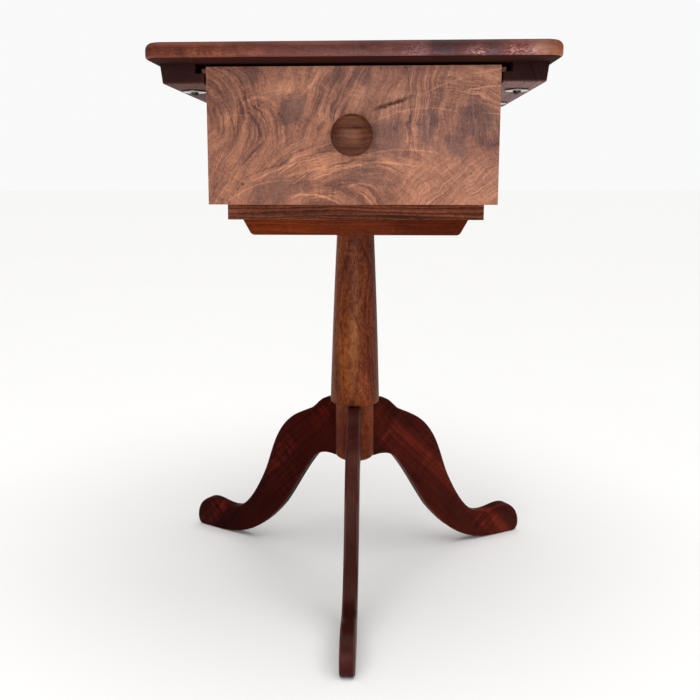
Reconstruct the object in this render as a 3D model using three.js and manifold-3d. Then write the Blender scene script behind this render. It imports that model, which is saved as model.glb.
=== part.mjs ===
// Tripod sewing table: a board top on a turned column with three scroll legs,
// and two drawers, front and rear, that hang by strips from L-section runners under the top.
//
// Units are millimetres. +Z is up, the front drawer faces -Y, X is to the right of someone facing it.
// The origin is on the floor at the middle of the whole table's bounding box.

import * as THREE from 'three';
import { mergeVertices } from 'three/addons/utils/BufferGeometryUtils.js';
import Module from 'manifold-3d';

const wasm = await Module();
wasm.setup();

// ---- Driving dimensions ----

const TABLE_HEIGHT = 670;

const TOP = { width: 440, depth: 410, thickness: 17, cornerRadius: 20, arris: 3 };
const TOP_UNDERSIDE = TABLE_HEIGHT - TOP.thickness;

const RUNNER = {
  length: 317,
  height: 22,
  outerTop: 212,        // half the distance over both runners, at the top
  outerBottom: 209.5,   // and at the bottom: the outer face leans in a little
  cornerRadius: 3,
  rabbetWall: 173,      // the strip travels between this wall and the lip's edge
  lipEdge: 163,
  lipThickness: 11.5,
};
const RUNNER_SCREW = { x: 189, y: 87, shank: 2.25, length: 32, headRadius: 4.9, headHeight: 4 };
const WASHER = { radius: 14, hole: 2.75, thickness: 2 };

const FACE = { width: 322, height: 150, thickness: 16 };
const FACE_TOP = 649.5;
const FACE_BOTTOM = FACE_TOP - FACE.height;
const FACE_FRONT = RUNNER.length / 2;     // distance of a drawer's face from the column axis
const BOX = { sideThickness: 10, backThickness: 10, rear: 30, backDrop: 4 };
const BOTTOM = { thickness: 6, above: 8.5, tongue: 5 };
const STRIP = { width: 5.25, height: 5.25, front: 3.5, rear: 4 };
const TAIL = { count: 4, lap: 4, slope: 1 / 6 };
const KNOB = { radius: 23, projection: 31, neck: 9.5, shoulder: 12, tenon: 6 };

const PARTITION = { width: 322, thickness: 19 };
const CLEAT = { length: 280, size: 18, screwX: 95 };
const BOARD = { width: 322, depth: 72, thickness: 19 };
const BEARER = { topWidth: 284.5, bottomWidth: 263, depth: 66, thickness: 19.5, cornerRadius: 4 };
const BOARD_TOP = 496;
const BOARD_BOTTOM = BOARD_TOP - BOARD.thickness;
const BEARER_BOTTOM = BOARD_BOTTOM - BEARER.thickness;
const BEARER_SCREWS_X = [-112, -62, 62, 112];
const WOOD_SCREW = { shank: 2.5, headRadius: 4.5, headHeight: 3 };
const BEARER_SCREW_LENGTH = 62;
const CLEAT_SCREW_LENGTH = 28;

const COLUMN = { topRadius: 24.25, collarRadius: 32.5, hubRadius: 25.5, swell: 0.6, arris: 2 };
const COLLAR_BOTTOM = 233;
const COLUMN_BOTTOM = 152;
const TENON = { radius: 16, length: 29.5 };

const LEG = { thickness: 17.5, footReach: 279, hubTop: 232.5 };
const KEY = { neck: 9, tail: 14, inner: 14.5 };    // dovetail key of a leg, seen from above

const GAP = 0.3;         // around a piece let into its neighbour
const JOINT = 0.15;      // around a drawer's dovetails
const ROUND = 32;         // sides of the larger round pieces
const SMALL_ROUND = 14;   // sides of screws and holes

// The front foot reaches further than the top's rear edge, so the column stands a little behind the middle.
const COLUMN_Y = (LEG.footReach - TOP.depth / 2) / 2;

// ---- Materials ----

function material(color, roughness, metalness = 0) {
  return new THREE.MeshStandardMaterial({ color, roughness, metalness });
}

const topWood = material(0x7a4a40, 0.42);
const runnerWood = material(0x35201f, 0.5);
const faceWood = material(0xa17560, 0.45);
const boxWood = material(0xc7a678, 0.6);
const boardWood = material(0x70432f, 0.45);
const columnWood = material(0x7c452c, 0.4);
const legWood = material(0x41140f, 0.38);
const knobWood = material(0x5d3a2c, 0.4);
const steel = material(0xc9c9c6, 0.3, 1);
const darkSteel = material(0x3c3634, 0.35, 1);

// ---- Solids: joining and cutting closed meshes ----

function toSolid(geometry) {
  const bare = geometry.clone();
  bare.deleteAttribute('normal');
  bare.deleteAttribute('uv');
  const merged = mergeVertices(bare, 1e-4);
  return new wasm.Manifold(new wasm.Mesh({
    numProp: 3,
    vertProperties: new Float32Array(merged.attributes.position.array),
    triVerts: new Uint32Array(merged.index.array),
  }));
}

function toGeometry(solid) {
  const mesh = solid.getMesh();
  const geometry = new THREE.BufferGeometry();
  geometry.setAttribute('position', new THREE.BufferAttribute(mesh.vertProperties, 3));
  geometry.setIndex(new THREE.BufferAttribute(mesh.triVerts, 1));
  geometry.computeVertexNormals();
  return geometry;
}

function cut(geometry, tools) {
  let solid = toSolid(geometry);
  for (const tool of tools) {
    solid = solid.subtract(toSolid(tool));
  }
  return toGeometry(solid);
}

function join(first, second) {
  return toGeometry(toSolid(first).add(toSolid(second)));
}

// ---- Shared shapes ----

function box(x0, x1, y0, y1, z0, z1) {
  const geometry = new THREE.BoxGeometry(x1 - x0, y1 - y0, z1 - z0);
  return geometry.translate((x0 + x1) / 2, (y0 + y1) / 2, (z0 + z1) / 2);
}

function uprightCylinder(radius, z0, z1, x = 0, y = 0, sides = SMALL_ROUND) {
  const geometry = new THREE.CylinderGeometry(radius, radius, z1 - z0, sides);
  return geometry.rotateX(Math.PI / 2).translate(x, y, (z0 + z1) / 2);
}

// A profile of [radius, height] points turned about the Z axis.
function turned(profile, sides) {
  const points = profile.map(([r, z]) => new THREE.Vector2(r, z));
  return new THREE.LatheGeometry(points, sides).rotateX(Math.PI / 2);
}

// An outline in X and Z, extruded along Y from y0 to y1.
function extrudeAlongY(shape, y0, y1) {
  const geometry = new THREE.ExtrudeGeometry(shape, { depth: y1 - y0, bevelEnabled: false, curveSegments: 6 });
  return geometry.rotateX(Math.PI / 2).translate(0, y1, 0);
}

function polygon(points) {
  return new THREE.Shape(points.map(([x, y]) => new THREE.Vector2(x, y)));
}

function addMesh(group, name, geometry, surface) {
  const mesh = new THREE.Mesh(geometry, surface);
  mesh.name = name;
  group.add(mesh);
  return mesh;
}

// ---- Screws ----

// A countersunk screw driven upwards, its flat head at z = 0.
function woodScrew(length) {
  return turned([
    [0, 0],
    [WOOD_SCREW.headRadius, 0],
    [WOOD_SCREW.shank, WOOD_SCREW.headHeight],
    [WOOD_SCREW.shank, length - 5],
    [0, length],
  ], SMALL_ROUND);
}

// The hole that a wood screw fills, with clearance all round.
function woodScrewHole(length) {
  return turned([
    [0, -1],
    [WOOD_SCREW.headRadius + GAP, -1],
    [WOOD_SCREW.headRadius + GAP, GAP / 2],
    [WOOD_SCREW.shank + GAP, WOOD_SCREW.headHeight + GAP],
    [WOOD_SCREW.shank + GAP, length + GAP],
    [0, length + GAP],
  ], SMALL_ROUND);
}

// A domed screw driven upwards, the underside of its head at z = 0.
function domedScrew() {
  const { shank, length, headRadius, headHeight } = RUNNER_SCREW;
  const profile = [[0, -headHeight]];
  const steps = 5;
  for (let i = 1; i <= steps; i++) {
    const angle = (Math.PI / 2) * (i / steps);
    profile.push([headRadius * Math.sin(angle), -headHeight * Math.cos(angle)]);
  }
  profile.push([shank, 0], [shank, length - 5], [0, length]);
  return turned(profile, SMALL_ROUND);
}

// ---- Top, runners and their screws ----

function roundedRectangle(width, depth, radius) {
  const x = width / 2;
  const y = depth / 2;
  const shape = new THREE.Shape();
  shape.moveTo(-x + radius, -y);
  shape.lineTo(x - radius, -y);
  shape.absarc(x - radius, -y + radius, radius, -Math.PI / 2, 0);
  shape.lineTo(x, y - radius);
  shape.absarc(x - radius, y - radius, radius, 0, Math.PI / 2);
  shape.lineTo(-x + radius, y);
  shape.absarc(-x + radius, y - radius, radius, Math.PI / 2, Math.PI);
  shape.lineTo(-x, -y + radius);
  shape.absarc(-x + radius, -y + radius, radius, Math.PI, Math.PI * 1.5);
  return shape;
}

function runnerScrewPlaces() {
  const places = [];
  for (const [side, sign] of [['left', -1], ['right', 1]]) {
    for (const [end, direction] of [['front', -1], ['rear', 1]]) {
      places.push({ name: `${side}_${end}`, x: sign * RUNNER_SCREW.x, y: direction * RUNNER_SCREW.y });
    }
  }
  return places;
}

function cleatScrewPlaces() {
  const y = PARTITION.thickness / 2 + CLEAT.size / 2;
  const places = [];
  for (const [end, direction] of [['front', -1], ['rear', 1]]) {
    for (const [side, sign] of [['left', -1], ['right', 1]]) {
      places.push({ name: `${end}_${side}`, end, x: sign * CLEAT.screwX, y: direction * y });
    }
  }
  return places;
}

function tabletop() {
  const blank = new THREE.ExtrudeGeometry(roundedRectangle(TOP.width, TOP.depth, TOP.cornerRadius), {
    depth: TOP.thickness - 2 * TOP.arris,
    bevelThickness: TOP.arris,
    bevelSize: TOP.arris,
    bevelOffset: -TOP.arris,
    bevelSegments: 3,
    curveSegments: 8,
  }).translate(0, 0, TOP_UNDERSIDE + TOP.arris);
  const inTop = RUNNER_SCREW.length - WASHER.thickness - RUNNER.height;
  const holes = runnerScrewPlaces().map(({ x, y }) => uprightCylinder(
    RUNNER_SCREW.shank + GAP, TOP_UNDERSIDE - 1, TOP_UNDERSIDE + inTop + GAP, x, y));
  const cleatHole = CLEAT_SCREW_LENGTH - CLEAT.size + GAP;
  for (const { x, y } of cleatScrewPlaces()) {
    holes.push(uprightCylinder(WOOD_SCREW.shank + GAP, TOP_UNDERSIDE - 1, TOP_UNDERSIDE + cleatHole, x, y));
  }
  return cut(blank, holes);
}

// The section of the right runner: an outer face that leans in, and a rabbet over the lip inside.
function runnerSection() {
  const bottom = TOP_UNDERSIDE - RUNNER.height;
  const lipTop = bottom + RUNNER.lipThickness;
  const shape = new THREE.Shape();
  shape.moveTo(RUNNER.lipEdge, bottom);
  shape.lineTo(RUNNER.outerBottom - RUNNER.cornerRadius, bottom);
  shape.quadraticCurveTo(RUNNER.outerBottom, bottom, RUNNER.outerBottom, bottom + RUNNER.cornerRadius);
  shape.lineTo(RUNNER.outerTop, TOP_UNDERSIDE);
  shape.lineTo(RUNNER.rabbetWall, TOP_UNDERSIDE);
  shape.lineTo(RUNNER.rabbetWall, lipTop);
  shape.lineTo(RUNNER.lipEdge, lipTop);
  shape.closePath();
  return shape;
}

function rightRunner() {
  const blank = extrudeAlongY(runnerSection(), -RUNNER.length / 2, RUNNER.length / 2);
  const holes = [-1, 1].map((end) => uprightCylinder(
    RUNNER_SCREW.shank + GAP, TOP_UNDERSIDE - RUNNER.height - 1, TOP_UNDERSIDE + 1,
    RUNNER_SCREW.x, end * RUNNER_SCREW.y));
  return cut(blank, holes);
}

function washer() {
  return turned([
    [WASHER.hole, 0],
    [WASHER.radius, 0],
    [WASHER.radius, WASHER.thickness],
    [WASHER.hole, WASHER.thickness],
    [WASHER.hole, 0],
  ], 24);
}

function buildTop(table) {
  addMesh(table, 'tabletop', tabletop(), topWood);
  addMesh(table, 'right_runner', rightRunner(), runnerWood);
  addMesh(table, 'left_runner', rightRunner(), runnerWood).rotation.z = Math.PI;
  const runnerBottom = TOP_UNDERSIDE - RUNNER.height;
  for (const { name, x, y } of runnerScrewPlaces()) {
    addMesh(table, `runner_washer_${name}`, washer(), steel).position.set(x, y, runnerBottom - WASHER.thickness);
    addMesh(table, `runner_screw_${name}`, domedScrew(), darkSteel).position.set(x, y, runnerBottom - WASHER.thickness);
  }
}

// ---- Partition, cleats, support board and bearer ----

function partition() {
  const x = PARTITION.width / 2;
  const y = PARTITION.thickness / 2;
  const blank = box(-x, x, -y, y, BOARD_TOP, TOP_UNDERSIDE);
  const depth = BEARER_SCREW_LENGTH - BEARER.thickness - BOARD.thickness + GAP;
  return cut(blank, BEARER_SCREWS_X.map((screwX) => uprightCylinder(
    WOOD_SCREW.shank + GAP, BOARD_TOP - 1, BOARD_TOP + depth, screwX)));
}

function cleat() {
  const blank = box(-CLEAT.length / 2, CLEAT.length / 2, -CLEAT.size / 2, CLEAT.size / 2, 0, CLEAT.size);
  return cut(blank, [-1, 1].map((sign) => woodScrewHole(CLEAT.size + 2).translate(sign * CLEAT.screwX, 0, 0)));
}

function supportBoard() {
  const x = BOARD.width / 2;
  const y = BOARD.depth / 2;
  const holes = BEARER_SCREWS_X.map((screwX) => uprightCylinder(
    WOOD_SCREW.shank + GAP, BOARD_BOTTOM - 1, BOARD_TOP + 1, screwX));
  const mortiseTop = BEARER_BOTTOM + TENON.length + GAP;
  holes.push(uprightCylinder(TENON.radius + GAP, BOARD_BOTTOM - 1, mortiseTop, 0, 0, ROUND));
  return cut(box(-x, x, -y, y, BOARD_BOTTOM, BOARD_TOP), holes);
}

function bearerSection() {
  const top = BEARER.topWidth / 2;
  const bottom = BEARER.bottomWidth / 2;
  const r = BEARER.cornerRadius;
  const lean = (top - bottom) * (r / BEARER.thickness);
  const shape = new THREE.Shape();
  shape.moveTo(-bottom + r, BEARER_BOTTOM);
  shape.lineTo(bottom - r, BEARER_BOTTOM);
  shape.quadraticCurveTo(bottom, BEARER_BOTTOM, bottom + lean, BEARER_BOTTOM + r);
  shape.lineTo(top, BOARD_BOTTOM);
  shape.lineTo(-top, BOARD_BOTTOM);
  shape.lineTo(-bottom - lean, BEARER_BOTTOM + r);
  shape.quadraticCurveTo(-bottom, BEARER_BOTTOM, -bottom + r, BEARER_BOTTOM);
  return shape;
}

function bearer() {
  const holes = BEARER_SCREWS_X.map((x) => woodScrewHole(BEARER.thickness + 2).translate(x, 0, BEARER_BOTTOM));
  holes.push(uprightCylinder(TENON.radius + GAP, BEARER_BOTTOM - 1, BOARD_BOTTOM + 1, 0, 0, ROUND));
  return cut(extrudeAlongY(bearerSection(), -BEARER.depth / 2, BEARER.depth / 2), holes);
}

function buildCarrier(table) {
  addMesh(table, 'partition', partition(), boxWood);
  for (const [end, sign] of [['front', -1], ['rear', 1]]) {
    const y = sign * (PARTITION.thickness + CLEAT.size) / 2;
    addMesh(table, `${end}_cleat`, cleat(), boxWood).position.set(0, y, TOP_UNDERSIDE - CLEAT.size);
  }
  for (const { name, x, y } of cleatScrewPlaces()) {
    addMesh(table, `cleat_screw_${name}`, woodScrew(CLEAT_SCREW_LENGTH), darkSteel)
      .position.set(x, y, TOP_UNDERSIDE - CLEAT.size);
  }
  addMesh(table, 'support_board', supportBoard(), boardWood);
  addMesh(table, 'bearer', bearer(), boardWood);
  BEARER_SCREWS_X.forEach((x, index) => {
    addMesh(table, `bearer_screw_${index + 1}`, woodScrew(BEARER_SCREW_LENGTH), darkSteel)
      .position.set(x, 0, BEARER_BOTTOM);
  });
}

// ---- Column and legs ----

// A dovetail key or its socket seen from above, for a leg that points along +X.
function keyPrism(clearance, z0, z1, reach) {
  const neck = KEY.neck / 2 + clearance;
  const tail = KEY.tail / 2 + clearance;
  const inner = KEY.inner - clearance;
  const shape = polygon([
    [inner, -tail],
    [COLUMN.hubRadius, -neck],
    [reach, -neck],
    [reach, neck],
    [COLUMN.hubRadius, neck],
    [inner, tail],
  ]);
  return new THREE.ExtrudeGeometry(shape, { depth: z1 - z0, bevelEnabled: false }).translate(0, 0, z0);
}

function columnProfile() {
  const { topRadius, collarRadius, hubRadius, swell, arris } = COLUMN;
  const profile = [
    [0, COLUMN_BOTTOM],
    [hubRadius - 1.5, COLUMN_BOTTOM],
    [hubRadius, COLUMN_BOTTOM + 1.5],
    [hubRadius, COLLAR_BOTTOM],
    [collarRadius - arris, COLLAR_BOTTOM],
    [collarRadius, COLLAR_BOTTOM + arris],
  ];
  const steps = 10;
  const low = COLLAR_BOTTOM + arris;
  for (let i = 1; i <= steps; i++) {
    const t = i / steps;
    const radius = collarRadius + (topRadius - collarRadius) * t + swell * Math.sin(Math.PI * t);
    profile.push([radius, low + (BEARER_BOTTOM - low) * t]);
  }
  const tenonTop = BEARER_BOTTOM + TENON.length;
  profile.push([TENON.radius, BEARER_BOTTOM], [TENON.radius, tenonTop - 1], [TENON.radius - 1, tenonTop], [0, tenonTop]);
  return profile;
}

function legAngles() {
  return { front_leg: -Math.PI / 2, right_leg: Math.PI / 6, left_leg: (Math.PI * 5) / 6 };
}

function column() {
  const sockets = Object.values(legAngles()).map((angle) => keyPrism(
    GAP, COLUMN_BOTTOM - 1, COLLAR_BOTTOM, COLUMN.hubRadius + 5).rotateZ(angle));
  return cut(turned(columnProfile(), 40), sockets);
}

// The side of a leg: X is the distance from the column axis, Y the height.
// An ear beside the collar, a knee, a long S down to the ankle, and a turned-up round toe.
function legOutline() {
  const { footReach, hubTop } = LEG;
  const shape = new THREE.Shape();
  shape.moveTo(COLUMN.hubRadius - 4, COLUMN_BOTTOM);
  shape.lineTo(COLUMN.hubRadius + 2, COLUMN_BOTTOM);
  shape.bezierCurveTo(40, 155.5, 52, 156, 62, 146.5);
  shape.bezierCurveTo(82, 122.5, 98, 91, 116, 65.5);
  shape.bezierCurveTo(139, 38, 172, 1, 232, 0);
  shape.lineTo(footReach - 12, 0);
  shape.bezierCurveTo(footReach - 3, 0, footReach, 5, footReach, 14);
  shape.bezierCurveTo(footReach, 32, footReach - 15, 46, footReach - 31, 46);
  shape.bezierCurveTo(235, 46, 228, 41.5, 211, 41.5);
  shape.bezierCurveTo(184, 42, 164, 78, 149.5, 107);
  shape.bezierCurveTo(137, 133, 133, 164, 111, 188);
  shape.bezierCurveTo(97, 203, 84, 207, 68, 214.5);
  shape.bezierCurveTo(57, 220, 51, 233.5, 40, 233.5);
  shape.quadraticCurveTo(36, 233.5, COLUMN.collarRadius + 0.75, hubTop);
  shape.lineTo(COLUMN.hubRadius - 4, hubTop);
  shape.closePath();
  return shape;
}

// A leg that points along +X, shaped to the round hub and keyed into it.
function leg() {
  const blank = new THREE.ExtrudeGeometry(legOutline(), {
    depth: LEG.thickness, bevelEnabled: false, curveSegments: 9,
  }).rotateX(Math.PI / 2).translate(0, LEG.thickness / 2, 0);
  const hub = uprightCylinder(COLUMN.hubRadius + GAP, 0, TABLE_HEIGHT, 0, 0, 96);
  const key = keyPrism(0, COLUMN_BOTTOM, LEG.hubTop, COLUMN.hubRadius + 5);
  return join(cut(blank, [hub]), key);
}

function buildStand(table) {
  addMesh(table, 'column', column(), columnWood);
  for (const [name, angle] of Object.entries(legAngles())) {
    addMesh(table, name, leg(), legWood).rotation.z = angle;
  }
}

// ---- Drawers: modelled for the front drawer, with the column axis at x = 0, y = 0 ----

// Dovetails along one end of a side: each is wider at its tip than at the shoulder.
function tails(shoulderY, tipY, grow) {
  const pitch = FACE.height / TAIL.count;
  const halfTip = pitch * 0.34;
  const flare = Math.abs(tipY - shoulderY) * TAIL.slope;
  const direction = Math.sign(tipY - shoulderY);
  const outlines = [];
  for (let i = 0; i < TAIL.count; i++) {
    const z = FACE_BOTTOM + pitch * (i + 0.5);
    outlines.push([
      [shoulderY - direction, z - halfTip + flare - grow],
      [tipY + direction * grow, z - halfTip - grow],
      [tipY + direction * grow, z + halfTip + grow],
      [shoulderY - direction, z + halfTip - flare + grow],
    ]);
  }
  return outlines;
}

// Outlines in Y and Z, extruded along X from x0 to x1.
function extrudeAlongX(points, x0, x1) {
  const geometry = new THREE.ExtrudeGeometry(polygon(points), { depth: x1 - x0, bevelEnabled: false });
  return geometry.rotateY(Math.PI / 2).rotateX(Math.PI / 2).translate(x0, 0, 0);
}

const FRONT_SHOULDER = -FACE_FRONT + FACE.thickness;
const FRONT_TIP = -FACE_FRONT + TAIL.lap;
const REAR_TIP = -BOX.rear;
const REAR_SHOULDER = REAR_TIP - BOX.backThickness;
const GROOVE_LOW = FACE_BOTTOM + BOTTOM.above - JOINT;
const GROOVE_HIGH = FACE_BOTTOM + BOTTOM.above + BOTTOM.thickness + JOINT;

function drawerSide(sign) {
  const outer = FACE.width / 2;
  const inner = outer - BOX.sideThickness;
  const x0 = sign > 0 ? inner : -outer;
  const x1 = sign > 0 ? outer : -inner;
  let side = box(x0, x1, FRONT_SHOULDER + JOINT, REAR_SHOULDER - JOINT, FACE_BOTTOM, FACE_TOP);
  for (const outline of [...tails(FRONT_SHOULDER, FRONT_TIP, 0), ...tails(REAR_SHOULDER, REAR_TIP, 0)]) {
    side = join(side, extrudeAlongX(outline, x0, x1));
  }
  const deep = BOTTOM.tongue + JOINT;
  const grooveX = sign > 0 ? [inner - 1, inner + deep] : [-inner - deep, -inner + 1];
  return cut(side, [box(...grooveX, FRONT_TIP - 1, REAR_TIP + 1, GROOVE_LOW, GROOVE_HIGH)]);
}

function tailSockets(shoulderY, tipY) {
  const sockets = [];
  const outer = FACE.width / 2;
  const inner = outer - BOX.sideThickness - JOINT;
  for (const outline of tails(shoulderY, tipY, JOINT)) {
    sockets.push(extrudeAlongX(outline, inner, outer + 1));
    sockets.push(extrudeAlongX(outline, -outer - 1, -inner));
  }
  return sockets;
}

function drawerFace() {
  const x = FACE.width / 2;
  const centre = (FACE_TOP + FACE_BOTTOM) / 2;
  const inner = x - BOX.sideThickness + BOTTOM.tongue;
  const blank = box(-x, x, -FACE_FRONT, FRONT_SHOULDER, FACE_BOTTOM, FACE_TOP);
  const knobHole = new THREE.CylinderGeometry(KNOB.tenon + GAP, KNOB.tenon + GAP, FACE.thickness + 2, SMALL_ROUND)
    .translate(0, -FACE_FRONT + FACE.thickness / 2, centre);
  const groove = box(-inner - JOINT, inner + JOINT, FRONT_SHOULDER - BOTTOM.tongue - JOINT, FRONT_SHOULDER + 1,
    GROOVE_LOW, GROOVE_HIGH);
  return cut(blank, [knobHole, groove, ...tailSockets(FRONT_SHOULDER, FRONT_TIP)]);
}

function drawerBack() {
  const x = FACE.width / 2;
  const bottom = GROOVE_HIGH;
  const blank = box(-x, x, REAR_SHOULDER, REAR_TIP, bottom, FACE_TOP - BOX.backDrop);
  return cut(blank, tailSockets(REAR_SHOULDER, REAR_TIP));
}

function drawerBottom() {
  const x = FACE.width / 2 - BOX.sideThickness + BOTTOM.tongue;
  const z = FACE_BOTTOM + BOTTOM.above;
  return box(-x, x, FRONT_SHOULDER - BOTTOM.tongue, REAR_TIP, z, z + BOTTOM.thickness);
}

function drawerStrip(sign) {
  const lipTop = TOP_UNDERSIDE - RUNNER.height + RUNNER.lipThickness;
  const outer = FACE.width / 2;
  const inX = outer + JOINT;
  const outX = outer + STRIP.width;
  const [x0, x1] = sign > 0 ? [inX, outX] : [-outX, -inX];
  return box(x0, x1, -FACE_FRONT + STRIP.front, -BOX.rear - STRIP.rear, lipTop + JOINT, lipTop + STRIP.height);
}

// Turned about its own axis: z = 0 is the drawer face, and the tenon goes down through it.
function knobProfile() {
  const { radius, projection, neck, shoulder, tenon } = KNOB;
  const profile = [
    [0, -FACE.thickness + 1],
    [tenon, -FACE.thickness + 1],
    [tenon, GAP],
    [shoulder, GAP],
    [shoulder - 1, 2],
    [neck, 6],
    [neck + 1.5, 10],
    [radius - 7, 14],
    [radius - 1, 17.5],
    [radius, 20],
  ];
  const domeBase = 20;
  const steps = 6;
  for (let i = 1; i <= steps; i++) {
    const angle = (Math.PI / 2) * (i / steps);
    profile.push([radius * Math.cos(angle), domeBase + (projection - domeBase) * Math.sin(angle)]);
  }
  profile[profile.length - 1][0] = 0;
  return profile;
}

function buildDrawer(table, end, turn) {
  const drawer = new THREE.Group();
  drawer.rotation.z = turn;
  table.add(drawer);
  addMesh(drawer, `${end}_drawer_face`, drawerFace(), faceWood);
  addMesh(drawer, `${end}_drawer_left_side`, drawerSide(-1), boxWood);
  addMesh(drawer, `${end}_drawer_right_side`, drawerSide(1), boxWood);
  addMesh(drawer, `${end}_drawer_back`, drawerBack(), boxWood);
  addMesh(drawer, `${end}_drawer_bottom`, drawerBottom(), boxWood);
  addMesh(drawer, `${end}_drawer_left_strip`, drawerStrip(-1), boxWood);
  addMesh(drawer, `${end}_drawer_right_strip`, drawerStrip(1), boxWood);
  const knob = addMesh(drawer, `${end}_drawer_knob`, turned(knobProfile(), 28), knobWood);
  knob.position.set(0, -FACE_FRONT, (FACE_TOP + FACE_BOTTOM) / 2);
  knob.rotation.x = Math.PI / 2;
}

// ---- The whole table ----

const table = new THREE.Group();
table.position.y = COLUMN_Y;
buildTop(table);
buildCarrier(table);
buildStand(table);
buildDrawer(table, 'front', 0);
buildDrawer(table, 'rear', Math.PI);

export default table;
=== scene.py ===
# Looks for the tripod sewing table: finely shaped pieces, oiled woods and a studio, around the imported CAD
# model. Lengths are millimetres, unless a comment says otherwise; meshes, lights and cameras get metres.

import math

import bmesh
import bpy
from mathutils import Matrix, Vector


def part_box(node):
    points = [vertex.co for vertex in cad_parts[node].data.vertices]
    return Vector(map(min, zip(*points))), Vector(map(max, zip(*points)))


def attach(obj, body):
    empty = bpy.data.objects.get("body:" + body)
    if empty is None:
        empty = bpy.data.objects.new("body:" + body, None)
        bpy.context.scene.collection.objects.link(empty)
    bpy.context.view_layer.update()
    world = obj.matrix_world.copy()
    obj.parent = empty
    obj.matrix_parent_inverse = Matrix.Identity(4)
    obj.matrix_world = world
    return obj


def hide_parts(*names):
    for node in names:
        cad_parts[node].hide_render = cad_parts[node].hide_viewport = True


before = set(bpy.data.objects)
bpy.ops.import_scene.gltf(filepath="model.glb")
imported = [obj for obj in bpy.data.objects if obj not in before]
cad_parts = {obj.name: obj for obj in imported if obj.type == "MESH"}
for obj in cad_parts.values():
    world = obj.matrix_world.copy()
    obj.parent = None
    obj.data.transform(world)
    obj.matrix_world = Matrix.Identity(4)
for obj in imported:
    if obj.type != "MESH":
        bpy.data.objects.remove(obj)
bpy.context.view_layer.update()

MM = 0.001


def node_box(name):
    """Lowest and highest corner of a CAD node, in millimetres."""
    low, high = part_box(name)
    return Vector(low) / MM, Vector(high) / MM


COLUMN_AXIS = sum(node_box("column"), Vector()) / 2      # only X and Y are used
FLOOR_Z = 0.0

# ---- Camera ----

# The photograph's view: a little to the right of the middle, at drawer height, looking slightly down.
CAMERA_PLACE = Vector((28.7, -1113.6, 527.8))     # from the column axis at floor level
CAMERA_PITCH = math.radians(8.74)
CAMERA_TURN = math.radians(3.06)                  # to the left of +Y
FOCAL_LENGTH = 43.8
SENSOR = 36.0
LENS_SHIFT = (0.0258, -0.0572)                    # as parts of the picture's width
CLIP_METRES = (0.01, 50)


def make_camera():
    data = bpy.data.cameras.new("camera")
    data.sensor_width = SENSOR
    data.lens = FOCAL_LENGTH
    data.shift_x, data.shift_y = LENS_SHIFT
    data.clip_start, data.clip_end = CLIP_METRES
    camera = bpy.data.objects.new("camera", data)
    place = CAMERA_PLACE + Vector((COLUMN_AXIS.x, COLUMN_AXIS.y, 0))
    camera.location = place * MM
    camera.rotation_euler = (math.pi / 2 - CAMERA_PITCH, 0, CAMERA_TURN)
    bpy.context.collection.objects.link(camera)
    bpy.context.scene.camera = camera


make_camera()

# ---- Mesh helpers ----

SHARP_ANGLE = math.radians(35)      # between two faces, from which their edge is shaded as a sharp one
EDGE_STEPS = 4                      # faces across a rounded arris


def new_piece(name, verts, faces):
    """A mesh object from points in millimetres, with smooth shading split at sharp edges."""
    mesh = bpy.data.meshes.new(name)
    mesh.from_pydata([Vector(v) * MM for v in verts], [], faces)
    return finish_mesh(name, mesh)


def finish_mesh(name, mesh, sharp_angle=SHARP_ANGLE):
    """Turns the mesh's faces outwards, shades it and makes an object of it."""
    bm = bmesh.new()
    bm.from_mesh(mesh)
    bmesh.ops.recalc_face_normals(bm, faces=bm.faces)
    bm.to_mesh(mesh)
    bm.free()
    mesh.shade_smooth()
    mesh.set_sharp_from_angle(angle=sharp_angle)
    piece = bpy.data.objects.new(name, mesh)
    bpy.context.collection.objects.link(piece)
    return piece


def loft(name, loops):
    """Joins closed loops of equal length with quads, and fills the first and the last loop."""
    count = len(loops[0])
    verts = [point for loop in loops for point in loop]
    faces = []
    for i in range(len(loops) - 1):
        a = i * count
        b = a + count
        for j in range(count):
            k = (j + 1) % count
            faces.append((a + j, a + k, b + k, b + j))
    faces.append(tuple(reversed(range(count))))
    faces.append(tuple(range(len(verts) - count, len(verts))))
    return new_piece(name, verts, faces)


def inset_loop(points, distance):
    """Moves a closed counter-clockwise outline inwards by a distance, along the normal at each point."""
    if distance == 0:
        return [tuple(p) for p in points]
    moved = []
    count = len(points)
    for i, point in enumerate(points):
        before = Vector(point) - Vector(points[i - 1])
        after = Vector(points[(i + 1) % count]) - Vector(point)
        n1 = Vector((-before.y, before.x)).normalized()
        n2 = Vector((-after.y, after.x)).normalized()
        bisector = n1 + n2
        moved.append(tuple(Vector(point) + bisector * (2 * distance / bisector.length_squared)))
    return moved


def quarter_turn(steps):
    """Angles from 0 to a right angle."""
    return [math.pi / 2 * i / steps for i in range(steps + 1)]


def edge_rows(face, inwards, radius):
    """Rows that round a square edge, from the flat face to the full outline: (inset, height, how worn).
    inwards is 1 or -1, the way from the face into the piece."""
    rows = [(radius * (1 - math.sin(angle)), face + inwards * radius * (1 - math.cos(angle)), 1.0)
            for angle in quarter_turn(EDGE_STEPS)]
    for flat in (0, -1):
        rows[flat] = (*rows[flat][:2], 0.0)
    return rows


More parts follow.
